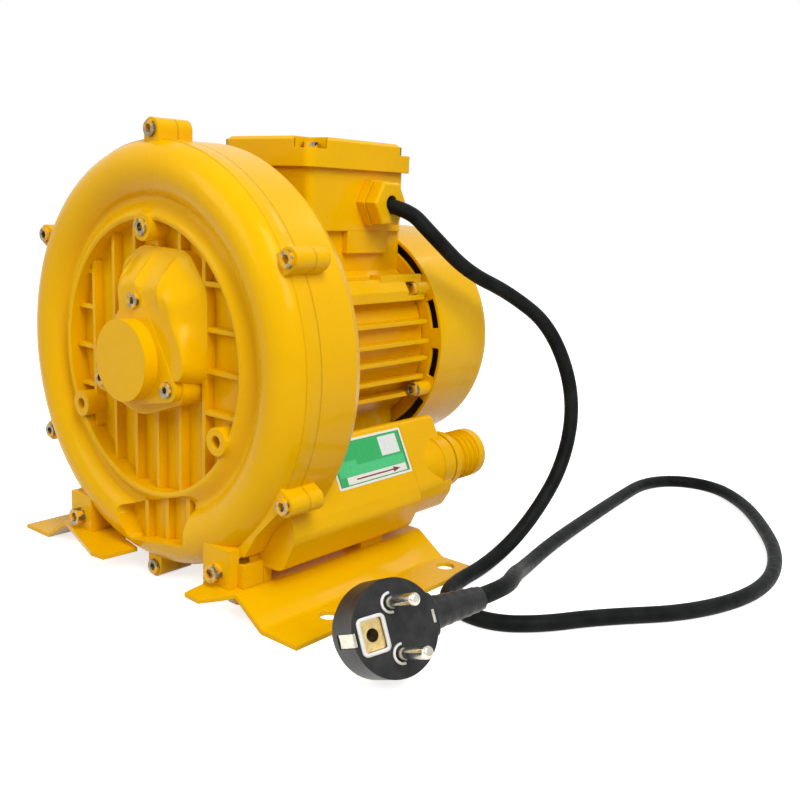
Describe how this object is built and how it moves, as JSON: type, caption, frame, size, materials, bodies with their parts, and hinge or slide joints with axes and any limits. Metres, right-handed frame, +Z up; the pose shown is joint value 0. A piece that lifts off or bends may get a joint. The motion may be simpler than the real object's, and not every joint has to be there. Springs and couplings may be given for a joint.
{
  "type": "side channel blower",
  "caption": "Small side channel blower: ribbed impeller casing, finned motor with terminal box and fan cowl, twin silencer ports with hose barbs, sheet feet, mains cord and plug.",
  "frame": {"origin": "on the floor, in the middle of the rectangle of the four foot holes", "axes": "+Z up, +Y along the shaft from the impeller cover to the motor fan cowl, +X toward the cable gland side"},
  "size_m": [0.3246, 0.3688, 0.2104],
  "materials": {
    "yellow_paint": "gloss golden yellow enamel over castings and sheet",
    "zinc_steel": "zinc plated screws",
    "gasket": "dark flat gasket",
    "foam": "open grey foam",
    "cast_aluminium": "as cast",
    "shaft_steel": "ground steel",
    "spring_steel": "oiled spring steel",
    "bearing_steel": "polished bearing steel",
    "seal_rubber": "black nitrile",
    "core_steel": "stacked laminations",
    "copper": "enamelled copper wire, varnished",
    "fan_plastic": "black moulded plastic",
    "block_plastic": "cream moulded plastic",
    "brass": "bright brass",
    "capacitor_can": "white plastic can",
    "label_green": "printed green label with bare white fields",
    "cord_rubber": "black rubber sheath",
    "plug_plastic": "black moulded plastic",
    "nickel": "nickel plated brass"
  },
  "bodies": {
    "stator": {"front_cover": "yellow_paint", "bearing_cap": "yellow_paint", "rear_casing": "yellow_paint", "silencer_cover_left": "yellow_paint", "silencer_cover_right": "yellow_paint", "hose_barb_left": "yellow_paint", "hose_barb_right": "yellow_paint", "motor_frame": "yellow_paint", "end_shield": "yellow_paint", "fan_cowl": "yellow_paint", "terminal_box": "yellow_paint", "terminal_lid": "yellow_paint", "foot_left": "yellow_paint", "foot_right": "yellow_paint", "cable_gland": "yellow_paint", "gland_nut": "yellow_paint", "bearing_cap_screws": "zinc_steel", "cover_screws": "zinc_steel", "foot_lug_screws": "zinc_steel", "dish_plug_screw": "zinc_steel", "silencer_cover_screws": "zinc_steel", "motor_screws": "zinc_steel", "cowl_screws": "zinc_steel", "box_screws": "zinc_steel", "lid_screws": "zinc_steel", "foot_bolts": "zinc_steel", "foot_washers": "zinc_steel", "gland_locknut": "zinc_steel", "cover_gasket": "gasket", "lid_gasket": "gasket", "silencer_lining_left": "foam", "silencer_lining_right": "foam", "preload_spring": "spring_steel", "front_bearing_outer": "bearing_steel", "front_bearing_balls": "bearing_steel", "rear_bearing_outer": "bearing_steel", "rear_bearing_balls": "bearing_steel", "shaft_seal": "seal_rubber", "stator_core": "core_steel", "stator_winding": "copper", "terminal_block": "block_plastic", "terminal_studs": "brass", "run_capacitor": "capacitor_can", "rating_label": "label_green", "mains_cord": "cord_rubber", "plug_body": "plug_plastic", "plug_strain_relief": "plug_plastic", "plug_pins": "nickel", "plug_earth_clips": "nickel", "plug_earth_socket": "brass"},
    "rotor": {"shaft": "shaft_steel", "impeller": "cast_aluminium", "impeller_key": "shaft_steel", "impeller_circlip": "spring_steel", "fan_circlip": "spring_steel", "front_bearing_inner": "bearing_steel", "rear_bearing_inner": "bearing_steel", "rotor_core": "core_steel", "cooling_fan": "fan_plastic"}
  },
  "joints": [
    {"name": "rotor_spin", "type": "hinge", "parent": "stator", "child": "rotor", "pos_m": [0, 0, 0.1055], "axis": [0, 1, 0], "continuous": true}
  ]
}
